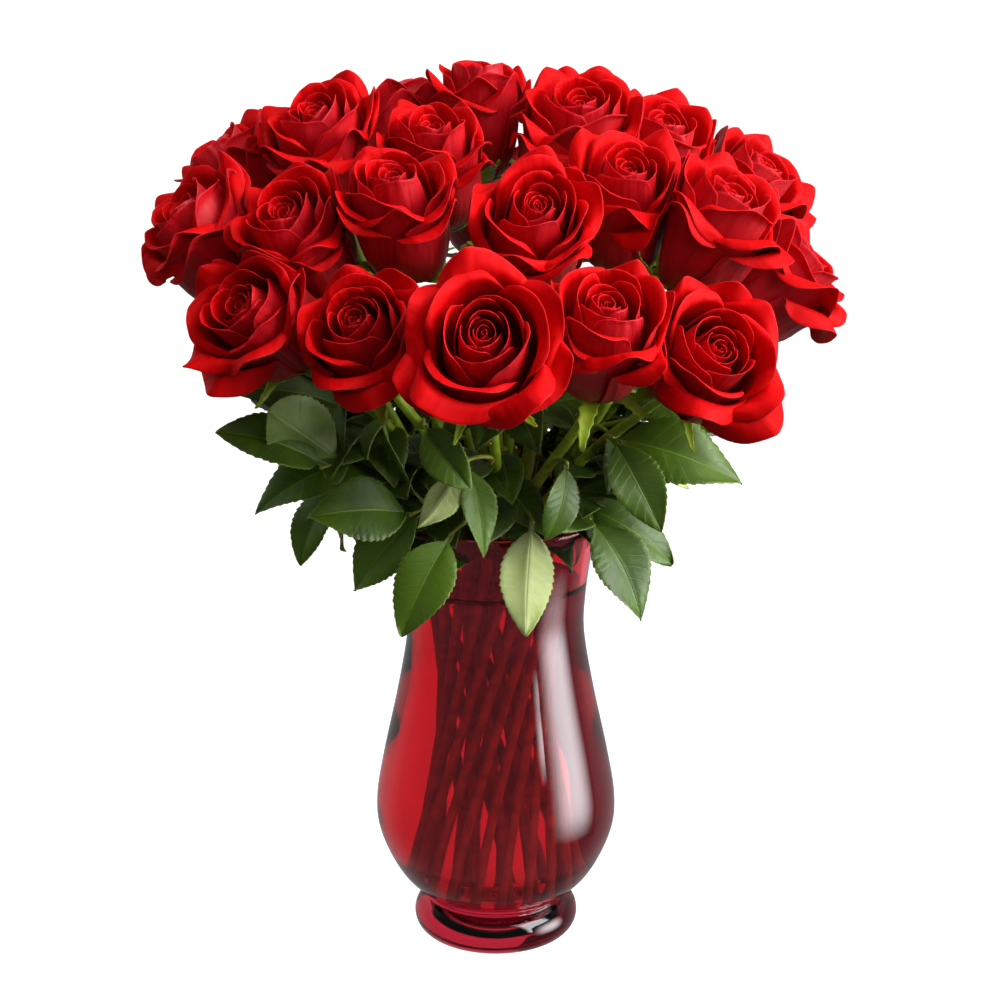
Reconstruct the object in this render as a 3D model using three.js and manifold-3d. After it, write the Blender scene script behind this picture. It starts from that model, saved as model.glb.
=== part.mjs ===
// Two dozen red roses standing in a footed ruby glass vase with water in it.
// Millimetres, +Z up. The origin is the centre of the vase's flat foot, and the front faces -Y.
// Each rose is a bloom and a green leafy stem. The stems stand in plain holes in the water and cross in
// a spiral, as in a hand-tied bunch: each is turned by the same angle between its foot and the neck.
import * as THREE from "three";
import { mergeVertices } from "three/addons/utils/BufferGeometryUtils.js";
import Module from "manifold-3d";

const wasm = await Module();
wasm.setup();

const GAP = 0.3; // air left between two pieces that touch

// ---- the vase -------------------------------------------------------------------------------
const VASE_HEIGHT = 226;
const WALL = 3.2;
const FOOT_FLAT_RADIUS = 32.4; // the flat disc it stands on
const FOOT_ROUND = 10.7; // radius of the rounded edge of the foot
const FLOOR_HEIGHT = 27; // inside bottom, above the thick glass foot
const VASE_SIDES = 24;
// Outside radius and height, from the pinch above the foot to the lip.
const BODY_OUTLINE = [
  [36, 22],
  [50.3, 36],
  [60.6, 57],
  [62.6, 75],
  [58.6, 100],
  [51, 135],
  [45.9, 165],
  [46.3, 185],
  [49.4, 208],
  [54.5, VASE_HEIGHT],
];
const FLOOR_RADIUS = 38;
const BODY_STEPS = 15;
const INSIDE_START = 40;
const INSIDE_STEP = 25;
const WATER_LEVEL = 194;

// ---- the stems ------------------------------------------------------------------------------
const STEM_RADIUS = 2.9;
const STEM_SIDES = 5;
const STEM_FOOT_HEIGHT = 31;
const NECK_HEIGHT = 226;
const INNER_STEMS = 7; // the most upright ones stand in an inner ring at the neck
const INNER_RING = 14.5;
const OUTER_RING = 31;
const OUTER_TURN = 100; // degrees from the foot of a stem to the neck, in the outer ring
const INNER_TURN = -100; // the inner ring is turned the other way, so that stems cross
const FOOT_SPREAD = 1.08; // radius at the foot of a stem over its radius at the neck
const HOLE_GAP = 0.45; // water stands this far off a stem
const NECK_PULL = 0.3; // how far a stem keeps its course above the neck, over its free length
const BLOOM_PULL = 0.36; // how far it runs straight into the bloom
const BENDS = [0.33, 0.68]; // places of the rings along the free stem
const HIP_HEIGHT = 6; // of the swelling under the bloom
const HIP_RADIUS = 4.2;
const SEPAL_REACH = 18;
const SEPAL_HANG = 10;

// ---- the roses ------------------------------------------------------------------------------
// Centre of the open face x, y, z; the way it faces, as azimuth (0 front, 90 right) and elevation in
// degrees; radius of the cup; radius of the outer petals' tips; height; roll about its axis in degrees.
const ROSES = [
  [-119, -104, 353, -35, 32, 25, 37, 58, 20],
  [-63, -126, 349, -12, 36, 23, 34, 58, 100],
  [-4, -154, 347, 0, 30, 28, 43, 58, 16],
  [52, -128, 358, 8, 50, 24, 34, 62, 55],
  [102, -118, 337, 18, 30, 26, 39, 58, 80],
  [-152, -47, 392, -62, 46, 25, 37, 58, 40],
  [-98, -80, 394, -22, 50, 25, 35, 60, 70],
  [-46, -86, 410, -10, 62, 23, 32, 60, 10],
  [18, -98, 398, 5, 46, 25, 35, 60, 35],
  [63, -60, 413, 8, 60, 25, 37, 62, 120],
  [112, -68, 402, 50, 58, 25, 37, 62, 15],
  [-144, 24, 413, -80, 50, 25, 35, 58, 60],
  [-88, -20, 436, -25, 62, 25, 35, 60, 110],
  [-32, -28, 430, -8, 66, 24, 32, 60, 60],
  [-8, 26, 454, 0, 86, 21, 28, 60, 0],
  [41, -4, 441, 6, 62, 26, 38, 60, 90],
  [86, 12, 429, 28, 62, 25, 35, 60, 76],
  [137, 22, 407, 66, 50, 26, 37, 58, 75],
  [154, -38, 368, 78, 38, 27, 39, 58, 45],
  [-47, 58, 438, -150, 68, 24, 32, 60, 25],
  [47, 67, 440, 150, 78, 24, 32, 60, 65],
  [-95, 88, 389, -132, 44, 25, 35, 58, 105],
  [0, 117, 391, 180, 46, 25, 36, 58, 5],
  [104, 101, 380, 134, 42, 25, 35, 58, 85],
];

const BLOOM_SIDES = 15; // points round each ring of a bloom: three for each of its five outer petals
const MIDDLE_PLACE = 0.32; // the widest part of a head, from its face down, over its height
const FREE_SHARE = 0.72; // of the way to a neighbour, where nothing gives way yet

// ---- the leaves -----------------------------------------------------------------------------
// A compound leaf grows from a rose's stem. Its first leaflet runs from near the end of its stalk, the hub,
// and the others from further back. Each row: number of the rose; place on its stem, from 0 at the neck to 1
// at the bloom; the hub; and for each leaflet the tip x, y, z, turn about its length, width over length.
const LEAVES = [
  [1, 0.32, [-85, -53, 263], [-131, -71, 286, 10], [-108, -84, 300, 140], [-116, -60, 243]],
  [6, 0.35, [-74, -25, 287], [-132, -42, 300], [-123, -5, 288]],
  [6, 0.16, [-77, -30, 253], [-97, -45, 213], [-76, -24, 214, 30]],
  [2, 0.14, [-41, -66, 243], [-88, -84, 247, 0, 0.62], [-68, -58, 203]],
  [3, 0.1, [-22, -74, 235], [-45, -84, 188]],
  [3, 0.4, [-19, -75, 268], [-36, -88, 242, 190, 0.5], [-6, -76, 225, -30, 0.4]],
  [2, 0.6, [-33, -92, 293], [-11, -100, 264, 20, 0.6]],
  [7, 0.5, [-53, -50, 289], [-60, -71, 271, 30, 0.5], [-36, -52, 244, 60, 0.4]],
  [4, 0.1, [18, -68, 240], [14, -80, 187, 180, 0.5]],
  [4, 0.4, [34, -76, 271], [25, -80, 234, -30, 0.55]],
  [10, 0.1, [46, -54, 238], [73, -64, 191], [30, -78, 238, 0, 0.5], [88, -42, 213]],
  [5, 0.45, [56, -70, 282], [78, -86, 240, 20, 0.5], [117, -72, 260, 0, 0.52]],
  [11, 0.4, [86, -38, 284], [132, -32, 288], [96, -30, 248, 180]],
  [11, 0.16, [57, -34, 256], [84, -20, 240]],
];
// The leaves at the back are alike: azimuth of the leaf, height of its hub, number of the rose.
const BACK_LEAVES = [
  [110, 262, 19],
  [140, 276, 24],
  [171, 260, 24],
  [202, 278, 23],
  [232, 262, 22],
  [262, 278, 12],
];
const BACK_PLACE = 0.3;
const BACK_HUB_RADIUS = 76;
const BACK_SPREAD = 58; // degrees between the middle leaflet and a side one
const BACK_DROP = 16; // how far the middle tip hangs below the hub
const SIDE_LEAFLET = 0.84; // length of a side leaflet over the middle one's
const SIDE_DROP = 0.7; // of the middle tip's drop
const LEAFLET_LENGTH = 54;
const LEAFLET_WIDTH = 0.54; // over its length
const LEAFLET_ARCH = 0.1; // rise of the midrib over its length
const LEAF_THICKNESS = 0.8;
const LEAF_FOLD = 14;
const FRONT_LEAN = 0.7; // the leaves in front turn their faces this far forwards // degrees each half rises from the midrib
const LEAF_STEPS = 8; // along each side of a leaflet: a narrow neck, and then tooth by tooth
const BACK_STEPS = 6; // with two teeth instead of three
const LEAF_NECK = 0.1; // length of the neck over the leaflet's
const LEAF_NECK_WIDTH = 1.8;
const TOOTH_OUT = 1.12; // half width at a tooth's point over the smooth leaf's
const TOOTH_IN = 0.92; // and between two teeth
const STALK_RADIUS = 1.2;
const STALK_RISE = 3;
const ROOT_PLACES = [0.14, 0.52, 0.8]; // of the leaflets, from the hub back to the middle of the stalk

const degrees = (a) => (a * Math.PI) / 180;
const vector = (x, y, z) => new THREE.Vector3(x, y, z);
const heading = (azimuth, elevation) => {
  const [a, e] = [degrees(azimuth), degrees(elevation)];
  return vector(Math.sin(a) * Math.cos(e), -Math.cos(a) * Math.cos(e), Math.sin(e));
};

// ---- solids ---------------------------------------------------------------------------------

function geometryOf(points, triangles) {
  const geometry = new THREE.BufferGeometry();
  const flat = points.flatMap((p) => [p.x, p.y, p.z]);
  geometry.setAttribute("position", new THREE.Float32BufferAttribute(flat, 3));
  geometry.setIndex(triangles.flat());
  return geometry;
}

function solidOf(geometry) {
  const bare = geometry.clone();
  bare.deleteAttribute("normal");
  bare.deleteAttribute("uv");
  const merged = mergeVertices(bare, 1e-4);
  const index = [...merged.index.array];
  const kept = [];
  for (let i = 0; i < index.length; i += 3) {
    const [a, b, c] = index.slice(i, i + 3);
    if (a !== b && b !== c && c !== a) kept.push(a, b, c);
  }
  const mesh = new wasm.Mesh({
    numProp: 3,
    vertProperties: new Float32Array(merged.attributes.position.array),
    triVerts: new Uint32Array(kept),
  });
  return new wasm.Manifold(mesh);
}

function geometryFrom(solid) {
  const { vertProperties, triVerts } = solid.getMesh();
  const geometry = new THREE.BufferGeometry();
  geometry.setAttribute("position", new THREE.BufferAttribute(vertProperties, 3));
  geometry.setIndex(new THREE.BufferAttribute(triVerts, 1));
  return geometry;
}

const join = (solids) => solids.reduce((all, one) => all.add(one));

// Rings of flat-sided tube round a path, with a radius at each of its points.
function tubeRings(points, radii, sides) {
  let side = null;
  return points.map((p, i) => {
    const before = points[Math.max(i - 1, 0)];
    const after = points[Math.min(i + 1, points.length - 1)];
    const along = after.clone().sub(before).normalize();
    const start = side ?? (Math.abs(along.x) < 0.8 ? vector(1, 0, 0) : vector(0, 1, 0));
    side = start.clone().addScaledVector(along, -start.dot(along)).normalize();
    const other = along.clone().cross(side);
    const ring = [];
    for (let k = 0; k < sides; k++) {
      const a = (2 * Math.PI * k) / sides;
      const [c, s] = [radii[i] * Math.cos(a), radii[i] * Math.sin(a)];
      ring.push(p.clone().addScaledVector(side, c).addScaledVector(other, s));
    }
    return ring;
  });
}

// Joins rings into one closed skin, with a fan on each end round its middle point. A ring has as many
// points as the one before it, or twice as many.
function ringsToGeometry(rings, ends) {
  const middle = (ring) => ring.reduce((sum, p) => sum.add(p), vector(0, 0, 0)).divideScalar(ring.length);
  const points = [...rings.flat(), ...(ends ?? [middle(rings[0]), middle(rings.at(-1))])];
  const triangles = [];
  let start = 0;
  for (let i = 0; i + 1 < rings.length; i++) {
    const [count, above] = [rings[i].length, rings[i + 1].length];
    const top = start + count;
    const ratio = above / count;
    for (let k = 0; k < count; k++) {
      const [a, b] = [start + k, start + ((k + 1) % count)];
      const [d, c] = [top + ratio * k, top + ((ratio * (k + 1)) % above)];
      if (ratio === 1) {
        triangles.push([a, b, c], [a, c, d]);
      } else {
        triangles.push([a, b, d + 1], [b, c, d + 1], [a, d + 1, d]);
      }
    }
    start = top;
  }
  const [first, last] = [rings[0].length, rings.at(-1).length];
  for (let k = 0; k < first; k++) triangles.push([points.length - 2, (k + 1) % first, k]);
  for (let k = 0; k < last; k++) triangles.push([points.length - 1, start + k, start + ((k + 1) % last)]);
  return geometryOf(points, triangles);
}

// ---- the vase and its water -------------------------------------------------------------------

const body = new THREE.SplineCurve(BODY_OUTLINE.map(([r, z]) => new THREE.Vector2(r, z)));

// Outside radius of the body at a height, between the points of its outline.
function bodyRadius(height) {
  const fine = body.getPoints(120);
  const above = fine.findIndex((p) => p.y >= height);
  const [a, b] = [fine[above - 1], fine[above]];
  return a.x + ((b.x - a.x) * (height - a.y)) / (b.y - a.y);
}

function lathe(profile, sides) {
  const points = profile.map(([r, z]) => new THREE.Vector2(r, z));
  return new THREE.LatheGeometry(points, sides).rotateX(Math.PI / 2);
}

// The inside of the glass, or the water a gap away from it, from just above the floor up to a height.
function insideOutline(gap, height) {
  const outline = [[FLOOR_RADIUS - gap, FLOOR_HEIGHT + 1 + gap]];
  for (let z = INSIDE_START; z < height - 1; z += INSIDE_STEP) outline.push([bodyRadius(z) - WALL - gap, z]);
  return outline;
}

function vaseGeometry() {
  const profile = [[0, 0]];
  for (let a = -90; a <= 72; a += 27) {
    const [c, s] = [Math.cos(degrees(a)), Math.sin(degrees(a))];
    profile.push([FOOT_FLAT_RADIUS + FOOT_ROUND * c, FOOT_ROUND * (1 + s)]);
  }
  body.getPoints(BODY_STEPS).forEach((p) => profile.push([p.x, p.y]));
  const [lip] = BODY_OUTLINE.at(-1);
  profile.push([lip - WALL * 0.4, VASE_HEIGHT + 1.2], [lip - WALL, VASE_HEIGHT]);
  profile.push(...insideOutline(0, VASE_HEIGHT).reverse(), [0, FLOOR_HEIGHT]);
  return lathe(profile, VASE_SIDES);
}

function waterGeometry(holes) {
  const profile = [[0, FLOOR_HEIGHT + 2 * GAP], ...insideOutline(2 * GAP, WATER_LEVEL)];
  profile.push([bodyRadius(WATER_LEVEL) - WALL - 2 * GAP, WATER_LEVEL], [0, WATER_LEVEL]);
  const water = solidOf(lathe(profile, VASE_SIDES));
  return geometryFrom(holes.reduce((left, hole) => left.subtract(hole), water));
}

// ---- where each rose stands -------------------------------------------------------------------

function rosesPlaced() {
  const roses = ROSES.map(([x, y, z, azimuth, elevation, cup, lip, height, roll], i) => {
    const face = vector(x, y, z);
    const axis = heading(azimuth, elevation);
    const base = face.clone().addScaledVector(axis, -height);
    const middle = face.clone().addScaledVector(axis, -MIDDLE_PLACE * height);
    const lean = Math.hypot(base.x, base.y) / (base.z - NECK_HEIGHT);
    return { number: i + 1, axis, base, middle, cup, lip, height, roll, lean };
  });
  const upright = [...roses].sort((a, b) => a.lean - b.lean);
  placeInRing(upright.slice(0, INNER_STEMS), INNER_RING, INNER_TURN);
  placeInRing(upright.slice(INNER_STEMS), OUTER_RING, OUTER_TURN);
  return roses;
}

// Spaces the stems of one ring evenly round the neck, in the order of their blooms, and turns the
// ring so that the stems lean outwards as straight as they can.
function placeInRing(roses, radius, turn) {
  const bearing = (rose) => Math.atan2(rose.base.x, -rose.base.y);
  const inOrder = [...roses].sort((a, b) => bearing(a) - bearing(b));
  const step = (2 * Math.PI) / inOrder.length;
  let [east, north] = [0, 0];
  inOrder.forEach((rose, k) => {
    east += Math.cos(bearing(rose) - k * step);
    north += Math.sin(bearing(rose) - k * step);
  });
  const start = Math.atan2(north, east);
  inOrder.forEach((rose, k) => {
    const a = start + k * step;
    rose.neck = vector(radius * Math.sin(a), -radius * Math.cos(a), NECK_HEIGHT);
    const b = a - degrees(turn);
    const reach = radius * FOOT_SPREAD;
    rose.foot = vector(reach * Math.sin(b), -reach * Math.cos(b), STEM_FOOT_HEIGHT);
  });
}

// The free stem, from the neck of the vase to the bloom.
function freeStem({ foot, neck, base, axis }) {
  const span = base.distanceTo(neck);
  const leaving = neck.clone().sub(foot).normalize();
  return new THREE.CubicBezierCurve3(
    neck,
    neck.clone().addScaledVector(leaving, NECK_PULL * span),
    base.clone().addScaledVector(axis, -BLOOM_PULL * span),
    base,
  );
}

// Heads that touch give way to each other: a point of one head is eased back from the plane between it
// and each neighbour, more the nearer it would come, so that no two heads cross. The larger head has
// the larger share of the space between two.
function giveWay(point, rose, roses) {
  for (const other of roses) {
    if (other === rose) continue;
    const toOther = other.middle.clone().sub(rose.middle);
    const limit = (toOther.length() * rose.lip) / (rose.lip + other.lip) - 2 * GAP;
    toOther.normalize();
    const reach = point.clone().sub(rose.middle).dot(toOther);
    const free = FREE_SHARE * limit;
    if (reach <= free) continue;
    const eased = free + (limit - free) * (1 - Math.exp(-(reach - free) / (limit - free)));
    point.addScaledVector(toOther, eased - reach);
  }
  return point;
}

// ---- a bloom --------------------------------------------------------------------------------

// Whorls of petals raised from one closed skin: each ring of points goes round the axis, and each lip
// rises over the valley inside it. A petal's one edge stands out over its neighbour's tucked-in edge,
// as in a pinwheel.
function petalWave(step, petals, offset) {
  const perPetal = BLOOM_SIDES / petals;
  const across = (((step + offset) % perPetal) + perPetal) % perPetal;
  const s = (2 * across) / (perPetal - 1) - 1; // -1 at the tucked edge, 1 at the outer edge
  return { reach: 1 - 0.1 * s * s + 0.06 * s, rise: 1 - s * s };
}

function bloomGeometry(rose, roses) {
  const { axis, base, cup, lip, height, roll } = rose;
  const turn = new THREE.Quaternion().setFromUnitVectors(vector(0, 0, 1), axis);
  const place = (r, z, angle) => {
    const local = vector(r * Math.cos(angle), r * Math.sin(angle), z);
    return giveWay(local.applyQuaternion(turn).add(base), rose, roses);
  };
  const tipDrop = 0.5 * (lip - cup); // how far the outer petals roll back down
  const whorls = [
    // radius, height, petals, points by which they are turned, how much a petal stands out and up
    { r: 5.5, z: 2 * GAP },
    { r: cup * 0.98, z: 0.36 * height },
    { r: lip, z: 0.8 * height - tipDrop, petals: 5, offset: 0, out: 1.9, up: 4 },
    { r: 0.5 * (cup + lip), z: 0.86 * height, petals: 5, offset: 0, out: 0.8, up: 5 },
    { r: cup * 0.82, z: 0.62 * height },
    { r: cup * 0.92, z: 0.93 * height, petals: 5, offset: 1, out: 1, up: 4 },
    { r: cup * 0.56, z: 0.7 * height },
    { r: cup * 0.6, z: 0.97 * height, petals: 3, offset: 2, out: 1, up: 3 },
    { r: cup * 0.27, z: 0.78 * height },
    { r: cup * 0.26, z: 0.95 * height, petals: 3, offset: 4, out: 1, up: 1 },
  ];
  const rings = whorls.map(({ r, z, petals, offset, out, up }) => {
    const ring = [];
    for (let k = 0; k < BLOOM_SIDES; k++) {
      const angle = degrees(roll) + (2 * Math.PI * k) / BLOOM_SIDES;
      const { reach, rise } = petals ? petalWave(k, petals, offset) : { reach: 1, rise: 0 };
      ring.push(place(petals ? r * (1 + out * (reach - 1)) : r, z + (up ?? 0) * rise, angle));
    }
    return ring;
  });
  return ringsToGeometry(rings, [place(0, 2 * GAP, 0), place(0, 0.86 * height, 0)]);
}

// ---- a leafy stem ---------------------------------------------------------------------------

// The stem, the hip and five hanging sepals in one skin. The rings have five points along the stem,
// and ten above, in turn under a sepal and between two.
function stemRings(rose, extra) {
  const { foot, neck, base, axis } = rose;
  const curve = freeStem(rose);
  const points = [foot, neck, ...BENDS.map((place) => curve.getPoint(place))];
  points.push(base.clone().addScaledVector(axis, -HIP_HEIGHT));
  const radii = points.map((_, i) => (i === points.length - 1 ? HIP_RADIUS : STEM_RADIUS) + extra);
  return tubeRings(points, radii, STEM_SIDES);
}

// The calyx goes on from the stem's last ring, and its gaps between sepals stand over that ring's corners.
function calyxRings({ axis, base }, corner) {
  const turn = new THREE.Quaternion().setFromUnitVectors(vector(0, 0, 1), axis);
  const toCorner = corner.clone().sub(base).applyQuaternion(turn.clone().invert());
  const start = Math.atan2(toCorner.y, toCorner.x);
  const outline = [
    // at a sepal: radius, height; between two sepals: radius, height
    [10.5, -3.2, 5.2, -2.4],
    [SEPAL_REACH, -SEPAL_HANG, 5.6, -1.6],
    [10.5, -1.6, 5.2, -0.6],
    [3, 0, 3, 0],
  ];
  return outline.map(([sepalRadius, sepalHeight, gapRadius, gapHeight]) => {
    const ring = [];
    for (let k = 0; k < 2 * STEM_SIDES; k++) {
      const angle = start + (Math.PI * k) / STEM_SIDES;
      const [r, z] = k % 2 ? [sepalRadius, sepalHeight] : [gapRadius, gapHeight];
      const local = vector(r * Math.cos(angle), r * Math.sin(angle), z);
      ring.push(local.applyQuaternion(turn).add(base));
    }
    return ring;
  });
}

// One leaflet: two toothed halves that fold up from an arching midrib, with a top and a bottom skin.
function leaflet(hub, steps, [x, y, z, twist = 0, width = LEAFLET_WIDTH]) {
  const tip = vector(x, y, z);
  const along = tip.clone().sub(hub).normalize();
  const length = tip.distanceTo(hub);
  const outward = vector(hub.x, hub.y, 0).normalize().multiplyScalar(0.8).add(vector(0, 0, 1));
  if (hub.y < 0) outward.y -= FRONT_LEAN;
  const up = outward.addScaledVector(along, -outward.dot(along)).normalize();
  up.applyAxisAngle(along, degrees(twist));
  const across = along.clone().cross(up);
  const fold = degrees(LEAF_FOLD);
  const place = (t, aside, lift) => {
    const arch = LEAFLET_ARCH * length * 4 * t * (1 - t);
    return hub.clone()
      .addScaledVector(along, t * length)
      .addScaledVector(across, aside * Math.cos(fold))
      .addScaledVector(up, arch + Math.abs(aside) * Math.sin(fold) + lift);
  };
  const edge = [[LEAF_NECK, LEAF_NECK_WIDTH / 2]];
  for (let j = 2; j < steps; j++) {
    const t = (j - 1) / (steps - 1);
    const tooth = j % 2 ? TOOTH_OUT : TOOTH_IN;
    const half = 0.5 * width * length * Math.sin(Math.PI * t ** 0.8) ** 0.8 * tooth;
    edge.push([LEAF_NECK + (1 - LEAF_NECK) * t, half]);
  }
  const otherEdge = edge.map(([t, aside]) => [t, -aside]).reverse();
  const outline = [[0, 0], ...edge, [1, 0], ...otherEdge];
  const ribs = edge.filter((_, i) => i % 2 === 1).map(([t]) => [t, 0]);
  const layer = [...outline, ...ribs];
  const points = [LEAF_THICKNESS / 2, -LEAF_THICKNESS / 2].flatMap((lift) => {
    return layer.map(([t, aside]) => place(t, aside, lift));
  });
  return solidOf(bladeGeometry(points, outline.length, ribs.length));
}

// A closed blade: the points are its top outline and ribs, and then the same of its bottom.
function bladeGeometry(points, around, ribs) {
  const layer = around + ribs;
  const tip = around / 2;
  const rib = (i) => (i === 0 ? 0 : i > ribs ? tip : around + i - 1);
  const triangles = [];
  const face = (a, b, c) => {
    if (a !== b && b !== c && c !== a) triangles.push([a, b, c], [layer + a, layer + c, layer + b]);
  };
  for (let i = 0; i <= ribs; i++) {
    const [near, middle, far] = [2 * i, 2 * i + 1, 2 * i + 2];
    face(rib(i), near, middle);
    face(rib(i), middle, rib(i + 1));
    face(rib(i + 1), middle, far);
    const [nearLeft, middleLeft, farLeft] = [near, middle, far].map((k) => (around - k) % around);
    face(rib(i), middleLeft, nearLeft);
    face(rib(i), rib(i + 1), middleLeft);
    face(rib(i + 1), farLeft, middleLeft);
  }
  for (let i = 0; i < around; i++) {
    const next = (i + 1) % around;
    triangles.push([i, layer + i, layer + next], [i, layer + next, next]);
  }
  return geometryOf(points, triangles);
}

function leafOn(rose, place, hub, tips, steps) {
  const start = freeStem(rose).getPoint(place);
  const middle = start.clone().lerp(hub, 0.5).add(vector(0, 0, STALK_RISE));
  const radii = [STALK_RADIUS, STALK_RADIUS, STALK_RADIUS];
  const stalk = ringsToGeometry(tubeRings([start, middle, hub], radii, 4));
  const roots = ROOT_PLACES.map((back) => hub.clone().lerp(middle, back));
  return [solidOf(stalk), ...tips.map((tip, i) => leaflet(roots[i], steps, tip))];
}

function backLeaf(rose, azimuth, height) {
  const hub = heading(azimuth, 0).multiplyScalar(BACK_HUB_RADIUS).setZ(height);
  const tip = (turn, length, drop) => {
    return hub.clone().addScaledVector(heading(azimuth + turn, 0), length).setZ(height - drop).toArray();
  };
  const side = [SIDE_LEAFLET * LEAFLET_LENGTH, SIDE_DROP * BACK_DROP];
  const tips = [tip(0, LEAFLET_LENGTH, BACK_DROP), tip(-BACK_SPREAD, ...side), tip(BACK_SPREAD, ...side)];
  return leafOn(rose, BACK_PLACE, hub, tips, BACK_STEPS);
}

function leafyStemGeometry(rose) {
  const solids = [];
  for (const [number, place, hub, ...tips] of LEAVES) {
    if (number === rose.number) solids.push(...leafOn(rose, place, vector(...hub), tips, LEAF_STEPS));
  }
  for (const [azimuth, height, number] of BACK_LEAVES) {
    if (number === rose.number) solids.push(...backLeaf(rose, azimuth, height));
  }
  const stem = stemRings(rose, 0);
  solids.push(solidOf(ringsToGeometry([...stem, ...calyxRings(rose, stem.at(-1)[0])])));
  return geometryFrom(join(solids));
}

// ---- the assembly ---------------------------------------------------------------------------

const clear = (color, opacity) => {
  return new THREE.MeshStandardMaterial({ color, roughness: 0.05, transparent: true, opacity });
};
const RUBY_GLASS = clear("#7d0a12", 0.55);
const WATER = clear("#c9e6e8", 0.35);
const PETAL = new THREE.MeshStandardMaterial({ color: "#b3000f", roughness: 0.6 });
const GREEN = new THREE.MeshStandardMaterial({ color: "#3c6420", roughness: 0.5 });

const group = new THREE.Group();
function addPiece(name, geometry, look) {
  const mesh = new THREE.Mesh(geometry, look);
  mesh.name = name;
  group.add(mesh);
}

const roses = rosesPlaced();
addPiece("vase", vaseGeometry(), RUBY_GLASS);
const holes = roses.map((rose) => solidOf(ringsToGeometry(stemRings(rose, HOLE_GAP))));
addPiece("water", waterGeometry(holes), WATER);
for (const rose of roses) {
  const label = String(rose.number).padStart(2, "0");
  addPiece(`bloom_${label}`, bloomGeometry(rose, roses), PETAL);
  addPiece(`leafy_stem_${label}`, leafyStemGeometry(rose), GREEN);
}

export default group;
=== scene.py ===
"""Two dozen red roses standing in a footed ruby glass vase: the looks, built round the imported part."""

import math

import bpy
import numpy as np
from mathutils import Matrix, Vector


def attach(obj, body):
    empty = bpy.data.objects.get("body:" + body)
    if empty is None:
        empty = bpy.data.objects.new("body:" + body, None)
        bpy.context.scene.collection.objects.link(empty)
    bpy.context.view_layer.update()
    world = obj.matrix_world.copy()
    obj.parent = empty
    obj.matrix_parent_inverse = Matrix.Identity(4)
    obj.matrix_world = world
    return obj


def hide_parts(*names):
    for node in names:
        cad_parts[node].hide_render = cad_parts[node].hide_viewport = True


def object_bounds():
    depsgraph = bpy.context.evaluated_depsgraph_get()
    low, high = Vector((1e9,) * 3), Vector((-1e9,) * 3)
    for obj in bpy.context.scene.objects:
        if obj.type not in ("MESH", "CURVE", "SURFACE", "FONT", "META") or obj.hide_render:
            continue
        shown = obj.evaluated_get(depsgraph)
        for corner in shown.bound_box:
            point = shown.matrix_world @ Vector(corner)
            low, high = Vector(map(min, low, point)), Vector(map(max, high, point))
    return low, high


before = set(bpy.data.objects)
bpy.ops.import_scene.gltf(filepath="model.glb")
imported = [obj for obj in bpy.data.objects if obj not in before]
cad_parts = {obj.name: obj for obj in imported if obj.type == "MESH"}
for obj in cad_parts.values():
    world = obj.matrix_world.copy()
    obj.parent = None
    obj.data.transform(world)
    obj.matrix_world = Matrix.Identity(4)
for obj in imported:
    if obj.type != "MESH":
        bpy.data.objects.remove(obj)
cad_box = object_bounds()

MM = 0.001  # everything below is in millimetres until it becomes a mesh
GAP = 0.3  # air left between two pieces that touch

# ---- the vase, as in the part's source ----
VASE_HEIGHT = 226
WALL = 3.2
FOOT_FLAT_RADIUS = 32.4
FOOT_ROUND = 10.7
FLOOR_HEIGHT = 27
BODY_OUTLINE = [
    (36, 22), (50.3, 36), (60.6, 57), (62.6, 75), (58.6, 100),
    (51, 135), (45.9, 165), (46.3, 185), (49.4, 208), (54.5, VASE_HEIGHT),
]
FLOOR_RADIUS = 38
WATER_LEVEL = 194

# ---- the stems, as in the part's source ----
STEM_RADIUS = 2.9
STEM_FOOT_HEIGHT = 31
NECK_HEIGHT = 226
INNER_STEMS = 7
INNER_RING = 14.5
OUTER_RING = 31
OUTER_TURN = 100
INNER_TURN = -100
FOOT_SPREAD = 1.08
NECK_PULL = 0.3
BLOOM_PULL = 0.36

# ---- the roses, as in the part's source ----
# Centre of the open face x, y, z; azimuth (0 front, 90 right) and elevation it faces; radius of the
# cup; radius of the outer petals' tips; height; roll.
ROSES = [
    (-119, -104, 353, -35, 32, 25, 37, 58, 20),
    (-63, -126, 349, -12, 36, 23, 34, 58, 100),
    (-4, -154, 347, 0, 30, 28, 43, 58, 16),
    (52, -128, 358, 8, 50, 24, 34, 62, 55),
    (102, -118, 337, 18, 30, 26, 39, 58, 80),
    (-152, -47, 392, -62, 46, 25, 37, 58, 40),
    (-98, -80, 394, -22, 50, 25, 35, 60, 70),
    (-46, -86, 410, -10, 62, 23, 32, 60, 10),
    (18, -98, 398, 5, 46, 25, 35, 60, 35),
    (63, -60, 413, 8, 60, 25, 37, 62, 120),
    (112, -68, 402, 50, 58, 25, 37, 62, 15),
    (-144, 24, 413, -80, 50, 25, 35, 58, 60),
    (-88, -20, 436, -25, 62, 25, 35, 60, 110),
    (-32, -28, 430, -8, 66, 24, 32, 60, 60),
    (-8, 26, 454, 0, 86, 21, 28, 60, 0),
    (41, -4, 441, 6, 62, 26, 38, 60, 90),
    (86, 12, 429, 28, 62, 25, 35, 60, 76),
    (137, 22, 407, 66, 50, 26, 37, 58, 75),
    (154, -38, 368, 78, 38, 27, 39, 58, 45),
    (-47, 58, 438, -150, 68, 24, 32, 60, 25),
    (47, 67, 440, 150, 78, 24, 32, 60, 65),
    (-95, 88, 389, -132, 44, 25, 35, 58, 105),
    (0, 117, 391, 180, 46, 25, 36, 58, 5),
    (104, 101, 380, 134, 42, 25, 35, 58, 85),
]
MIDDLE_PLACE = 0.32
FREE_SHARE = 0.72

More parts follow.
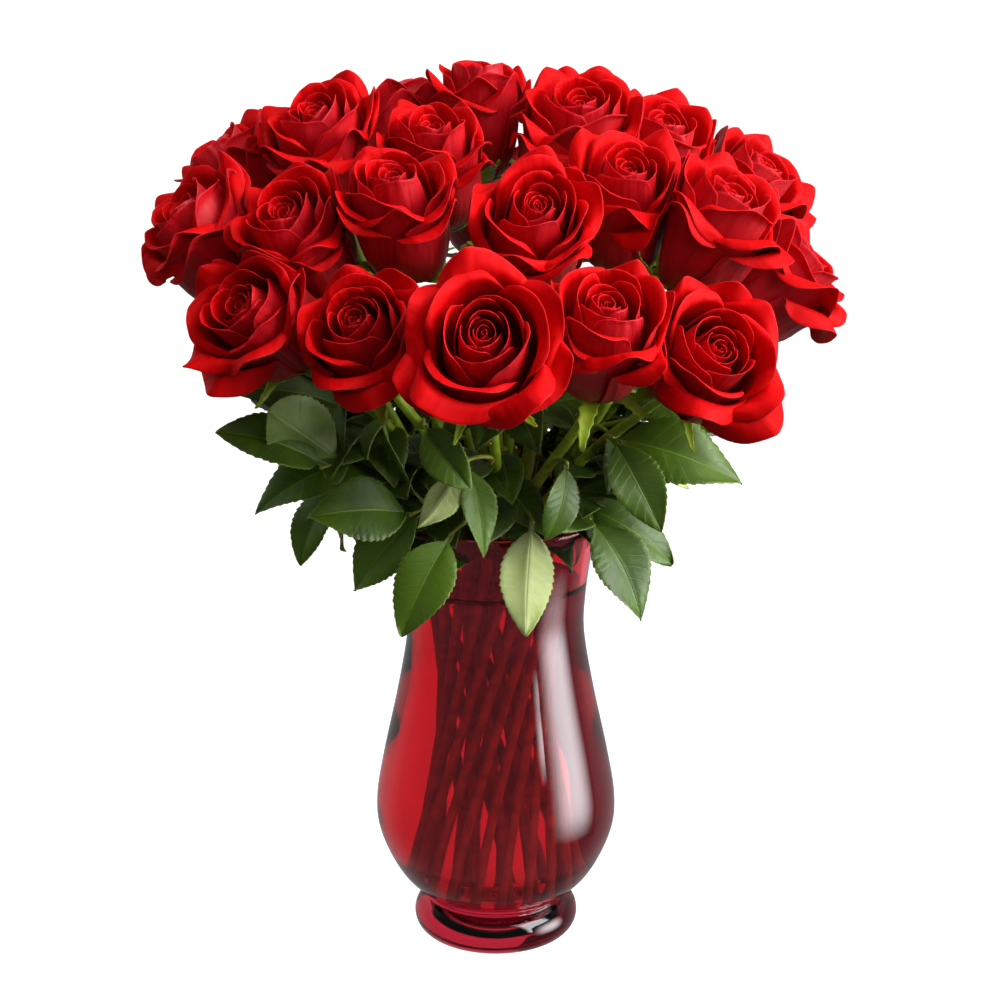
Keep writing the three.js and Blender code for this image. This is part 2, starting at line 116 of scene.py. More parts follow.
# ---- the leaves, as in the part's source ----
# Number of the rose; place on its stem; the hub; and for each leaflet the tip, its turn, its width.
LEAVES = [
    (1, 0.32, (-85, -53, 263), (-131, -71, 286, 10), (-108, -84, 300, 140), (-116, -60, 243)),
    (6, 0.35, (-74, -25, 287), (-132, -42, 300), (-123, -5, 288)),
    (6, 0.16, (-77, -30, 253), (-97, -45, 213), (-76, -24, 214, 30)),
    (2, 0.14, (-41, -66, 243), (-88, -84, 247, 0, 0.62), (-68, -58, 203)),
    (3, 0.1, (-22, -74, 235), (-45, -84, 188)),
    (3, 0.4, (-19, -75, 268), (-36, -88, 242, 190, 0.5), (-6, -76, 225, -30, 0.4)),
    (2, 0.6, (-33, -92, 293), (-11, -100, 264, 20, 0.6)),
    (7, 0.5, (-53, -50, 289), (-60, -71, 271, 30, 0.5), (-36, -52, 244, 60, 0.4)),
    (4, 0.1, (18, -68, 240), (14, -80, 187, 180, 0.5)),
    (4, 0.4, (34, -76, 271), (25, -80, 234, -30, 0.55)),
    (10, 0.1, (46, -54, 238), (73, -64, 191), (30, -78, 238, 0, 0.5), (88, -42, 213)),
    (5, 0.45, (56, -70, 282), (78, -86, 240, 20, 0.5), (117, -72, 260, 0, 0.52)),
    (11, 0.4, (86, -38, 284), (132, -32, 288), (96, -30, 248, 180)),
    (11, 0.16, (57, -34, 256), (84, -20, 240)),
]
BACK_LEAVES = [(110, 262, 19), (140, 276, 24), (171, 260, 24), (202, 278, 23), (232, 262, 22), (262, 278, 12)]
BACK_PLACE = 0.3
BACK_HUB_RADIUS = 76
BACK_SPREAD = 58
BACK_DROP = 16
SIDE_LEAFLET = 0.84
SIDE_DROP = 0.7
LEAFLET_LENGTH = 54
LEAFLET_WIDTH = 0.54
LEAFLET_ARCH = 0.1
LEAF_FOLD = 14
FRONT_LEAN = 0.7
STALK_RISE = 3
ROOT_PLACES = (0.14, 0.52, 0.8)

# ---- the petals ----
GOLDEN_ANGLE = math.radians(137.508)
OFF_CENTRE = 0.09  # how far the heart of a rose may stand aside, over the radius of its cup
OVAL = 0.06
THREE_SIDED = 0.02
BELLY = 0.4  # height of the cup's widest place, over the rose's
CUP_FOOT = 3.0  # radius of the cup where it leaves the stem
# Angles are in degrees, but for half, the half width of a petal seen from the rose's axis, in radians.
# A flap is what rolls over past the crease. tip and skew set a petal's point aside, and pin its sides.
PETAL_DEFAULTS = dict(
    foot=CUP_FOOT, low=1.0, bend_mid=6, bend_side=5, point=0.04, sink=0.2, skew=0.0, pin=0.3, ripple=0.1,
    ripples=3.2,
)
# The spiral core and the petals round it. In growing, a pair is what the first petal has and what the
# last one adds. In chance, and as spread, a number is how far it goes either way. belly, low and top
# are over the rose's height, and foot is over the petal's radius.
SPIRALS = [
    dict(
        count=7, belly=0.6, low=0.55, foot=0.9, spread=0.012, chance=dict(phi=0.3, slope=0.07, tip=0.3),
        growing=dict(radius=(0.06, 0.27), half=(2.75, -1.2), top=(0.87, 0.045), flap=(1.0, 1.0),
                     lean=(-7, -2), roll_mid=(16, 14), roll_side=(24, 20), drop=(0.1, 0.05)),
        fixed=dict(shoulder=0.22, ripple=0.08, narrow=0, rows=(2, 14), columns=29, thickness=0.32),
    ),
    dict(
        count=8, belly=0.5, low=0.3, foot=0.7, spread=0.018,
        chance=dict(phi=0.2, slope=0.06, tip=0.5, skew=0.5),
        growing=dict(radius=(0.37, 0.36), half=(1.6, -0.45), top=(0.925, 0.02), flap=(2.0, 1.6),
                     lean=(-9, 4), roll_mid=(24, 14), roll_side=(50, 36)),
        fixed=dict(bend_mid=4.5, bend_side=3.4, pin=0.9, drop=0.14, sink=0.1, point=0.1, shoulder=0.34,
                   narrow=0.4, rows=(4, 18), columns=29, thickness=0.36),
    ),
]
# The whorls round them, from the inside. The flap is a share of the opening and a fixed part.
WHORLS = [
    dict(count=3, radius=0.84, half=1.25, crease=0.87, opening=0.3, flap=3.6, lean=2, roll_mid=36,
         roll_side=104, point=0.15, drop=0.10, sink=0.12, shoulder=0.42),
    dict(count=5, radius=0.93, half=1.1, crease=0.77, opening=0.7, flap=6.5, lean=10, roll_mid=46,
         roll_side=122, point=0.36, drop=0.08, sink=0.24, shoulder=0.12),
    dict(count=3, radius=1.0, half=1.0, crease=0.67, opening=0.8, flap=7.5, lean=14, roll_mid=56,
         roll_side=118, point=0.40, drop=0.08, sink=0.26, shoulder=0.05),
]

# ---- finer stems, sepals and leaves than in the part's source ----
STEM_SIDES = 14
STEM_SLIM = 0.93  # over the source's radius: a stem never fills its hole in the water
STEM_WET_SLIM = 0.5
STEM_NECK_SLIM = 0.45
STEM_HIP = 3.4
STEM_GREEN_FROM = WATER_LEVEL + 4
STEM_GREENING = 24  # a stem is brown in the water, and turns green over this height
THORNS = (3, 6)
THORN_LENGTH = 3.2
SEPALS = 5
SEPALS_ALONG_CUP = 0.4  # the share of them that lie along the cup
SEPAL_LENGTH = (25, 36)
SEPAL_TURN = (100, 150)  # where a hanging sepal points at its tip, in degrees from the axis
SEPAL_START_TURN = 1.25  # and at its foot, in radians
SEPAL_TIP_OFF = (5, 11)
SEPAL_WIDTH = 4.0
SEPAL_FRINGE = 0.3
BLADE_THICKNESS = 0.5
LEAF_TEETH = 15
LEAF_TOOTH = 0.085
LEAF_VEINS = 9
LEAF_SLANT = 1.5
LEAF_NECK = 0.1  # the share of a leaflet's length that is stalk
LEAF_RELIEF = 0.16
MIDRIB_DEPTH = 0.4
LEAF_WAVE = 0.035
LEAF_GRID = (79, 13)
LEAF_SHADES = (0.1, 0.7)  # from the darkest green, 0, to the brightest, 1
PALE_TWIST = 150  # a leaflet turned further than this shows its pale underside
# painted shade: the undersides of leaflets that are not turned over face down, and their pale colour is
# painted darker
SHADED_UNDER = 0.35  # how pale the other undersides are
FILLER_PLACES = (0.1, 0.2, 0.3, 0.42, 0.56)
FILLER_TOP = 312
FILLER_FRONT = -27  # the stems in front of this stay bare
FILLER_REACH = (12, 20)
FILLER_LENGTH = (32, 44)
FILLER_SPREAD = 0.95
FILLER_GRID = (53, 9)
# painted shade: the filler leaves take only the darkest greens, as they sit in the shaded middle
FILLER_PAINTED_SHADE = (0.0, 0.12)

# ---- colours ----
# of petals: dark, light and blush
FACE_REDS = [(0.49, 0.0, 0.0008, 1), (0.53, 0.0002, 0.001, 1), (0.60, 0.0006, 0.0016, 1)]
BACK_REDS = [(0.40, 0.0008, 0.004, 1), (0.45, 0.0020, 0.007, 1), (0.56, 0.009, 0.018, 1)]
# painted shade: the dark red that the petals take deep in the cup
DEEP_SHADE_RED = (0.24, 0.0, 0.0008, 1)
# painted highlight: the paler red along the petals' free edges
RIM_HIGHLIGHT_RED = (0.56, 0.03, 0.045, 1)
LEAF_TOPS = [(0.017, 0.044, 0.001, 1), (0.044, 0.096, 0.0014, 1)]
LEAF_BRIGHT = (0.104, 0.205, 0.006, 1)
LEAF_VEIN = (0.20, 0.32, 0.03, 1)
LEAF_UNDERSIDES = [(0.30, 0.38, 0.11, 1), (0.40, 0.48, 0.18, 1)]
LEAF_UNDER_VEIN = (0.46, 0.56, 0.24, 1)
LEAF_RIM = (0.24, 0.30, 0.04, 1)
STEM_GREENS = [(0.24, 0.37, 0.012, 1), (0.36, 0.50, 0.026, 1)]
STEM_BROWNS = [(0.16, 0.10, 0.03, 1), (0.33, 0.19, 0.06, 1)]  # in the water
STEM_BLOTCH = (0.22, 0.10, 0.03, 1)
THORN_RED = (0.30, 0.04, 0.02, 1)
RUBY_WALLS = [(0.58, 0.052, 0.076, 1), (0.66, 0.074, 0.104, 1)]
RUBY_FOOT = (0.40, 0.012, 0.030, 1)
WATER_TINTS = [(0.97, 0.985, 0.97, 1), (0.99, 0.995, 0.985, 1)]
PAPER_GREYS = [(0.30, 0.30, 0.30, 1), (0.34, 0.34, 0.34, 1)]
LAMP_COLOUR = (0.98, 0.97, 1.0, 1)
ROOM_COLOUR = (0.98, 0.98, 1.0, 1)
PETAL_FOLD = 0.0022  # how deep the soft folds of a petal look, in metres


def heading(azimuth, elevation):
    a, e = math.radians(azimuth), math.radians(elevation)
    return np.array([math.sin(a) * math.cos(e), -math.cos(a) * math.cos(e), math.sin(e)])


def unit(v):
    return v / max(np.linalg.norm(v), 1e-9)


def smooth(x):
    x = np.clip(x, 0.0, 1.0)
    return x * x * (3 - 2 * x)


def turned(v, axis, angle):
    """v turned about a unit axis, in radians."""
    c, s = math.cos(angle), math.sin(angle)
    return v * c + np.cross(axis, v) * s + axis * np.dot(axis, v) * (1 - c)


def turn_to(axis):
    """The turn that takes +Z to an axis, as a 3 by 3 matrix: the shortest one, as in the part's source."""
    return np.array(Vector((0, 0, 1)).rotation_difference(Vector(axis)).to_matrix())


# ---- meshes ----

class Skin:
    """Collects quads, with named values at their points, for one mesh."""

    def __init__(self):
        self.points, self.quads, self.looks, self.values, self.count = [], [], [], [], 0

    def add(self, points, quads, look=0, **values):
        self.points.append(points)
        self.quads.append(quads + self.count)
        self.looks.append(np.broadcast_to(look, (len(quads),)))
        self.values.append({k: np.broadcast_to(v, (len(points),)) for k, v in values.items()})
        self.count += len(points)

    def to_object(self, name, materials):
        mesh = bpy.data.meshes.new(name)
        mesh.from_pydata(np.vstack(self.points) * MM, [], np.vstack(self.quads))
        mesh.polygons.foreach_set("material_index", np.concatenate(self.looks).astype(np.int32))
        mesh.shade_smooth()
        for key in sorted({k for part in self.values for k in part}):
            parts = [part.get(key, np.zeros(len(p))) for part, p in zip(self.values, self.points)]
            attribute = mesh.attributes.new(key, "FLOAT", "POINT")
            attribute.data.foreach_set("value", np.concatenate(parts).astype(np.float32))
        for material in materials:
            mesh.materials.append(material)
        piece = bpy.data.objects.new(name, mesh)
        bpy.context.scene.collection.objects.link(piece)
        return piece


def grid_quads(rows, columns, around=False):
    index = np.arange(rows * columns).reshape(rows, columns)
    if around:
        index = np.hstack([index, index[:, :1]])
    a, b, c, d = index[:-1, :-1], index[:-1, 1:], index[1:, 1:], index[1:, :-1]
    return np.stack([a, b, c, d], -1).reshape(-1, 4)


def blade(points, thickness):
    """A closed blade round a grid of points: two skins and a ridge round the edge. Also its border."""
    rows, columns, _ = points.shape
    normal = np.cross(np.gradient(points, axis=1), np.gradient(points, axis=0))
    normal /= np.maximum(np.linalg.norm(normal, axis=-1, keepdims=True), 1e-9)
    half, count = thickness / 2, rows * columns
    index = np.arange(count).reshape(rows, columns)
    border = np.concatenate([index[0], index[1:, -1], index[-1, -2::-1], index[-2:0:-1, 0]])
    flat, flat_normal = points.reshape(-1, 3), normal.reshape(-1, 3)
    along = np.roll(flat[border], -1, 0) - np.roll(flat[border], 1, 0)
    away = np.cross(along, flat_normal[border])
    away /= np.maximum(np.linalg.norm(away, axis=1, keepdims=True), 1e-9)
    ridge = flat[border] + away * half
    vertices = np.vstack([flat + flat_normal * half, flat - flat_normal * half, ridge])
    quads = grid_quads(rows, columns)
    k = np.arange(len(border))
    after = (k + 1) % len(border)
    edge, next_edge = 2 * count + k, 2 * count + after
    low, next_low = border + count, border[after] + count
    sides = [
        np.stack([border, edge, next_edge, border[after]], 1),
        np.stack([edge, low, next_low, next_edge], 1),
    ]
    return vertices, np.vstack([quads, quads[:, ::-1] + count, *sides]), border


def blade_values(border, **grids):
    """Each grid's values for the points of a blade: both skins and the ridge."""
    return {k: np.concatenate([g.ravel(), g.ravel(), g.ravel()[border]]) for k, g in grids.items()}


def tube(path, radii, sides):
    """Points and quads of a round tube along a path. Its ends close in a small cap."""
    path = np.vstack([path[0], path, path[-1]])
    radii = np.concatenate([[0.02], radii, [0.02]])
    along = np.gradient(path, axis=0)
    along[0], along[-1] = along[1], along[-2]
    side = None
    rings = []
    angle = 2 * math.pi * np.arange(sides) / sides
    for p, radius, a in zip(path, radii, along):
        a = unit(a)
        if side is None:
            side = np.array([1.0, 0, 0]) if abs(a[0]) < 0.8 else np.array([0, 1.0, 0])
        side = unit(side - a * np.dot(side, a))
        other = np.cross(a, side)
        rings.append(p + radius * (np.outer(np.cos(angle), side) + np.outer(np.sin(angle), other)))
    return np.vstack(rings), grid_quads(len(path), sides, around=True)


# ---- materials ----

class Nodes:
    """Short calls for the nodes of one material, or of the world."""

    def __init__(self, name, kind="materials", shader="Principled BSDF"):
        self.owner = getattr(bpy.data, kind).new(name)
        self.owner.use_nodes = True
        self.tree = self.owner.node_tree
        self.shader = self.tree.nodes[shader]

    def put(self, socket, value):
        if isinstance(value, bpy.types.NodeSocket):
            self.tree.links.new(value, socket)
        else:
            socket.default_value = value

    def new(self, kind, **values):
        """A node, with values for its sockets. An underscore stands for a blank in a name."""
        node = self.tree.nodes.new("ShaderNode" + kind)
        for key, value in values.items():
            self.put(node.inputs[key.replace("_", " ")], value)
        return node

    def set(self, name, value):
        self.put(self.shader.inputs[name], value)

    def attribute(self, name):
        node = self.new("Attribute")
        node.attribute_name = name
        return node.outputs["Fac"]

    def math(self, operation, a, b=0.0):
        node = self.new("Math")
        node.operation = operation
        self.put(node.inputs[0], a)
        self.put(node.inputs[1], b)
        return node.outputs[0]

    def times(self, a, b):
        return self.math("MULTIPLY", a, b)

    def ramp(self, value, low=0.3, high=0.7, to_low=0.0, to_high=1.0):
        node = self.new("MapRange", Value=value, From_Min=low, From_Max=high, To_Min=to_low, To_Max=to_high)
        node.interpolation_type = "SMOOTHSTEP"
        return node.outputs["Result"]

    def mix(self, share, a, b):
        node = self.new("Mix", Factor=share)
        node.data_type = "RGBA"
        for name, value in (("A", a), ("B", b)):
            self.put([s for s in node.inputs if s.name == name and s.type == "RGBA"][0], value)
        return [s for s in node.outputs if s.type == "RGBA"][0]

    def noise(self, scale, detail=2.0, vector=None, roughness=0.5):
        place = vector or self.new("NewGeometry").outputs["Position"]
        node = self.new("TexNoise", Scale=scale, Detail=detail, Roughness=roughness, Vector=place)
        return node.outputs["Fac"]

    def join(self, x, y, z):
        return self.new("CombineXYZ", X=x, Y=y, Z=z).outputs[0]

    def bump(self, height, strength, distance):
        node = self.new("Bump", Height=height, Strength=strength, Distance=distance)
        self.set("Normal", node.outputs[0])


def petal_material(name, reds, rough, gloss, vein_bump):
    """The velvety inner side of the petals, or their smoother, veined back."""
    dark, light, blush_red = reds
    n = Nodes(name)
    along, across = n.attribute("petal_along"), n.attribute("petal_across")
    rim, seed = n.attribute("petal_rim"), n.attribute("petal_seed")

    def stretched(over, up, step):
        """A place for streaks: how fine over a petal and up it, and how far from the next petal's."""
        scaled = ((across, over), (along, up), (seed, step))
        return n.join(*[n.times(value, scale) for value, scale in scaled])

    veins = n.noise(1.0, 3.0, stretched(30.0, 2.5, 40.0), 0.6)
    blush = n.noise(60.0, 2.0)
    colour = n.mix(n.ramp(veins), dark, light)
    colour = n.mix(n.times(seed, 0.35), colour, blush_red)
    colour = n.mix(n.ramp(blush, 0.45, 0.75, 0.0, 0.4), colour, blush_red)
    # painted shade: the colour darkens deep in the cup, towards each petal's foot
    colour = n.mix(n.ramp(along, 0.1, 0.65, 0.55, 0.0), colour, DEEP_SHADE_RED)
    # painted highlight: the colour turns paler red along each petal's free edge
    colour = n.mix(n.ramp(rim, 0.3, 0.0, 0.0, 0.35), colour, RIM_HIGHLIGHT_RED)
    n.set("Base Color", colour)
    n.set("Roughness", n.math("ADD", n.times(veins, 0.1), rough))
    n.set("Specular IOR Level", gloss)
    # a little light goes through
    n.set("Subsurface Weight", 0.3)
    n.set("Subsurface Radius", (1.0, 0.15, 0.1))
    n.set("Subsurface Scale", 0.0016)
    # soft folds run along the petal, with fine veins on them
    folds = n.noise(1.0, 2.0, stretched(3.0, 1.3, 55.0), 0.45)
    n.bump(n.math("ADD", folds, n.times(veins, vein_bump)), 1.0, PETAL_FOLD)
    return n.owner


def leaf_material():
    n = Nodes("rose_leaf")
    along, across, under = n.attribute("leaf_along"), n.attribute("leaf_across"), n.attribute("leaf_under")
    seed, rim = n.attribute("leaf_seed"), n.attribute("leaf_rim")
    away = n.math("ABSOLUTE", across)
    # side veins leave the midrib forwards, and a finer net lies between them
    slant = n.math("SUBTRACT", n.times(along, LEAF_VEINS), n.times(away, LEAF_SLANT))
    near = n.math("ABSOLUTE", n.math("SUBTRACT", n.math("FRACT", slant), 0.5))
    side_vein = n.ramp(near, 0.05, 0.0, 0.0, 0.4)
    midrib = n.ramp(away, 0.05, 0.01)
    net = n.noise(420.0, 3.0, None, 0.7)
    vein = n.math("MAXIMUM", side_vein, midrib)
    patches = n.noise(55.0, 2.0)
    top = n.mix(n.ramp(patches, 0.35, 0.7), *LEAF_TOPS)
    # a leaf's green lies at random between the darkest and the brightest; for the filler leaves it is painted
    # shade
    top = n.mix(seed, top, LEAF_BRIGHT)
    top = n.mix(n.times(vein, 0.4), top, LEAF_VEIN)
    low = n.mix(n.ramp(patches), *LEAF_UNDERSIDES)
    low = n.mix(n.times(vein, 0.6), low, LEAF_UNDER_VEIN)
    colour = n.mix(under, top, low)
    colour = n.mix(n.ramp(rim, 0.35, 0.0, 0.0, 0.4), colour, LEAF_RIM)
    n.set("Base Color", colour)
    n.set("Roughness", n.math("ADD", n.ramp(under, 0.0, 1.0, 0.36, 0.55), n.times(net, 0.16)))
    n.set("Specular IOR Level", 0.44)
    n.set("Subsurface Weight", 0.05)
    n.set("Subsurface Radius", (0.3, 1.0, 0.1))
    n.set("Subsurface Scale", 0.001)
    raised = n.math("SUBTRACT", n.times(net, 0.35), n.times(vein, 0.8))
    n.bump(raised, 0.5, 0.0006)
    return n.owner


def stem_material():
    n = Nodes("rose_stem")
    high, red = n.attribute("stem_high"), n.attribute("stem_red")
    streak = n.noise(160.0, 3.0)
    young = n.mix(n.ramp(streak, 0.35, 0.7), *STEM_GREENS)
    old = n.mix(n.ramp(streak, 0.35, 0.7), *STEM_BROWNS)
    colour = n.mix(high, old, young)
    blotch = n.noise(60.0, 2.0)
    colour = n.mix(n.ramp(blotch, 0.52, 0.72, 0.0, 0.35), colour, STEM_BLOTCH)
    colour = n.mix(n.times(red, 0.8), colour, THORN_RED)
    n.set("Base Color", colour)
    n.set("Roughness", n.math("ADD", n.times(streak, 0.2), 0.36))
    n.set("Specular IOR Level", 0.45)
    n.bump(streak, 0.25, 0.0005)
    return n.owner


def glass_material():
    n = Nodes("ruby_glass")
    swirl, thick = n.noise(9.0, 1.0), n.attribute("glass_thick")
    wall = n.mix(n.ramp(swirl), *RUBY_WALLS)
    n.set("Base Color", n.mix(thick, wall, RUBY_FOOT))
    n.set("Roughness", n.ramp(n.noise(30.0, 2.0), 0.4, 0.7, 0.0, 0.012))
    n.set("IOR", 1.5)
    n.set("Transmission Weight", 1.0)
    n.bump(n.noise(14.0, 1.0), 0.03, 0.004)
    return n.owner


def water_material():
    n = Nodes("water")
    n.set("Base Color", n.mix(n.ramp(n.noise(12.0)), *WATER_TINTS))
    n.set("Roughness", 0.0)
    n.set("IOR", 1.333)
    n.set("Transmission Weight", 1.0)
    return n.owner


def paper_material():
    n = Nodes("pale_paper")
    fibre = n.noise(300.0, 3.0)
    n.set("Base Color", n.mix(n.ramp(fibre), *PAPER_GREYS))
    n.set("Roughness", 0.9)
    n.set("Specular IOR Level", 0.0)
    n.set("Emission Color", (1.0, 1.0, 1.0, 1))
    n.set("Emission Strength", 0.95)
    return n.owner


def lamp_material():
    """A softbox: bright in the middle, fading towards its edges."""
    n = Nodes("softbox")
    n.tree.nodes.remove(n.shader)
    light = n.new("Emission", Color=LAMP_COLOUR, Strength=n.attribute("glow"))
    n.put(n.tree.nodes["Material Output"].inputs["Surface"], light.outputs[0])
    return n.owner


PETAL_FACE = petal_material("petal_face", FACE_REDS, rough=0.6, gloss=0.08, vein_bump=0.025)
PETAL_BACK = petal_material("petal_back", BACK_REDS, rough=0.44, gloss=0.34, vein_bump=0.03)
LEAF, STEM = leaf_material(), stem_material()
RUBY, WATER, PAPER, LAMP = glass_material(), water_material(), paper_material(), lamp_material()

# ---- the vase and its water ----
VASE_SEGMENTS = 128
CREEP = 1.6
WATER_OVERLAP = 0.15  # of the water into the glass, so that no film of air shows


def catmull_rom(points, count):
    """Points along a smooth curve through the given ones, evenly in its parameter."""
    points = np.array(points, float)
    out = []
    for i in range(count + 1):
        place = i / count * (len(points) - 1)
        k = min(int(place), len(points) - 2)
        t = place - k
        a, b, c, d = (points[min(max(j, 0), len(points) - 1)] for j in (k - 1, k, k + 1, k + 2))
        v0, v1 = (c - a) / 2, (d - b) / 2
        out.append((2 * b - 2 * c + v0 + v1) * t ** 3 + (-3 * b + 3 * c - 2 * v0 - v1) * t ** 2 + v0 * t + b)
    return out


BODY = catmull_rom(BODY_OUTLINE, 180)


def body_radius(height):
    radii, heights = zip(*BODY)
    return float(np.interp(height, heights, radii))


def inside_outline(gap, height, step):
    """The inside of the glass from the floor up, with a rounded corner, or the water's outline."""
    outline = []
    for a in np.linspace(0, 90, 8):
        x = math.radians(a)
        radius = (FLOOR_RADIUS - 10) + (10 - gap) * math.sin(x)
        outline.append((radius, FLOOR_HEIGHT + gap + 6 * (1 - math.cos(x))))
    bottom = outline[-1][1]
    z = bottom + step
    while z < height - 0.5 * step:
        floor_wall = FLOOR_RADIUS - gap + (z - bottom) * 1.05
        side_wall = body_radius(z) - WALL - gap
        outline.append((min(floor_wall, side_wall) if z < bottom + 18 else side_wall, z))
        z += step
    return outline


def lathe(profile):
    angle = 2 * math.pi * np.arange(VASE_SEGMENTS) / VASE_SEGMENTS
    rings = [np.stack([r * np.cos(angle), r * np.sin(angle), np.full_like(angle, z)], 1) for r, z in profile]
    return np.vstack(rings), grid_quads(len(profile), VASE_SEGMENTS, around=True)


def vase():
    profile = [(0.02, 0.6), (FOOT_FLAT_RADIUS - 8, 0.6), (FOOT_FLAT_RADIUS - 5, 0.0), (FOOT_FLAT_RADIUS, 0.0)]
    for a in np.arange(-84, 73, 6):
        x = math.radians(a)
        profile.append((FOOT_FLAT_RADIUS + FOOT_ROUND * math.cos(x), FOOT_ROUND * (1 + math.sin(x))))
    profile.extend(tuple(p) for p in BODY[::3])
    lip = BODY_OUTLINE[-1][0]
    for a in np.arange(20, 161, 20):
        x = math.radians(a)
        profile.append((lip - WALL / 2 + WALL / 2 * math.cos(x), VASE_HEIGHT + 1.2 * math.sin(x)))
    profile.append((lip - WALL, VASE_HEIGHT - 0.4))
    profile.extend(reversed(inside_outline(0, VASE_HEIGHT - 1, 2.5)))
    profile.append((0.02, FLOOR_HEIGHT))
    points, quads = lathe(profile)
    skin = Skin()
    skin.add(points, quads, glass_thick=smooth((FLOOR_HEIGHT + 8 - points[:, 2]) / 14))
    return skin.to_object("glass_vase", [RUBY])


def water():
    over = -WATER_OVERLAP
    profile = [(0.02, FLOOR_HEIGHT + over), *inside_outline(over, WATER_LEVEL, 2.5)]
    wall = body_radius(WATER_LEVEL) - WALL - over
    # the surface creeps up at the glass
    for inward, rise in ((0.0, CREEP), (0.4, 0.9), (0.9, 0.45), (1.8, 0.15), (3.2, 0.0)):
        profile.append((wall - inward, WATER_LEVEL + rise - CREEP))
    profile.append((0.02, WATER_LEVEL - CREEP))
    skin = Skin()
    skin.add(*lathe(profile))
    return skin.to_object("vase_water", [WATER])


# ---- where each rose stands ----

def roses_placed():
    roses = []
    for i, (x, y, z, azimuth, elevation, cup, lip, height, roll) in enumerate(ROSES):
        face, axis = np.array([x, y, z], float), heading(azimuth, elevation)
        base = face - axis * height
        lean = math.hypot(base[0], base[1]) / (base[2] - NECK_HEIGHT)
        middle = face - axis * MIDDLE_PLACE * height
        roses.append(dict(number=i + 1, label=f"{i + 1:02d}", axis=axis, base=base, middle=middle, cup=cup,
                          lip=lip, height=height, roll=roll, lean=lean))
    upright = sorted(roses, key=lambda rose: rose["lean"])
    place_in_ring(upright[:INNER_STEMS], INNER_RING, INNER_TURN)
    place_in_ring(upright[INNER_STEMS:], OUTER_RING, OUTER_TURN)
    return roses


def place_in_ring(roses, radius, turn):
    """Spreads stems evenly round a ring in the neck, and turns their feet further round it."""
    def bearing(rose):
        return math.atan2(rose["base"][0], -rose["base"][1])

    in_order = sorted(roses, key=bearing)
    step = 2 * math.pi / len(in_order)
    slips = [bearing(rose) - k * step for k, rose in enumerate(in_order)]
    start = math.atan2(sum(map(math.sin, slips)), sum(map(math.cos, slips)))
    reach = radius * FOOT_SPREAD
    for k, rose in enumerate(in_order):
        a = start + k * step
        b = a - math.radians(turn)
        rose["neck"] = np.array([radius * math.sin(a), -radius * math.cos(a), NECK_HEIGHT])
        rose["foot"] = np.array([reach * math.sin(b), -reach * math.cos(b), STEM_FOOT_HEIGHT])


def free_stem(rose, places):
    """Points of the stem between the neck of the vase and the bloom."""
    neck, base = rose["neck"], rose["base"]
    span = np.linalg.norm(base - neck)
    leaving = unit(neck - rose["foot"])
    b, c = neck + leaving * NECK_PULL * span, base - rose["axis"] * BLOOM_PULL * span
    t = np.asarray(places, float)[:, None]
    return (1 - t) ** 3 * neck + 3 * (1 - t) ** 2 * t * b + 3 * (1 - t) * t * t * c + t ** 3 * base


def ease_back(points, start, direction, limit):
    """Eases points back from a plane that stands a distance away from the start."""
    reach = (points - start) @ direction
    free = FREE_SHARE * limit
    over = np.maximum(reach - free, 0)
    eased = free + (limit - free) * (1 - np.exp(-over / (limit - free)))
    points += np.where(reach > free, eased - reach, 0)[:, None] * direction


def give_way(points, rose, roses):
    """Eases one head back from its neighbours, and from the outside of the whole bouquet."""
    points = points.copy()
    for other in roses:
        if other is rose:
            continue
        to_other = other["middle"] - rose["middle"]
        distance = np.linalg.norm(to_other)
        limit = distance * rose["lip"] / (rose["lip"] + other["lip"]) - 2 * GAP
        ease_back(points, rose["middle"], to_other / distance, limit)
    for axis in range(3):
        for side in (-1, 1):
            direction = side * np.eye(3)[axis]
            edge = cad_box[(side + 1) // 2][axis] / MM * side
            ease_back(points, rose["middle"], direction, edge - GAP - rose["middle"][axis] * side)
    return points


# ---- a rose's head ----

def cup_shape(angle):
    """How far out and up a cup is, from 0 at its foot to 1 at its belly, for an angle along it."""
    return np.sin(angle) ** 0.9, 1 - np.cos(angle) ** 1.1


def petal_edge(p, s, a):
    """How far above the belly a petal ends and creases, for places s across it."""
    nick = 0.005 * np.sin(7 * s + p["phase"]) + 0.002 * np.sin(23 * s + 2 * p["phase"])
    shoulder = p["shoulder"] * smooth((np.abs(s) - 0.6) / 0.4)
    upper = (p["straight"] + p["flap"]) * (
        1 - p["point"] * a ** 1.12 - p["drop"] * a ** 3.0 + p["slope"] * s + nick - shoulder)
    return upper, p["straight"] * (1 - p["sink"] * a ** 1.7 - shoulder)


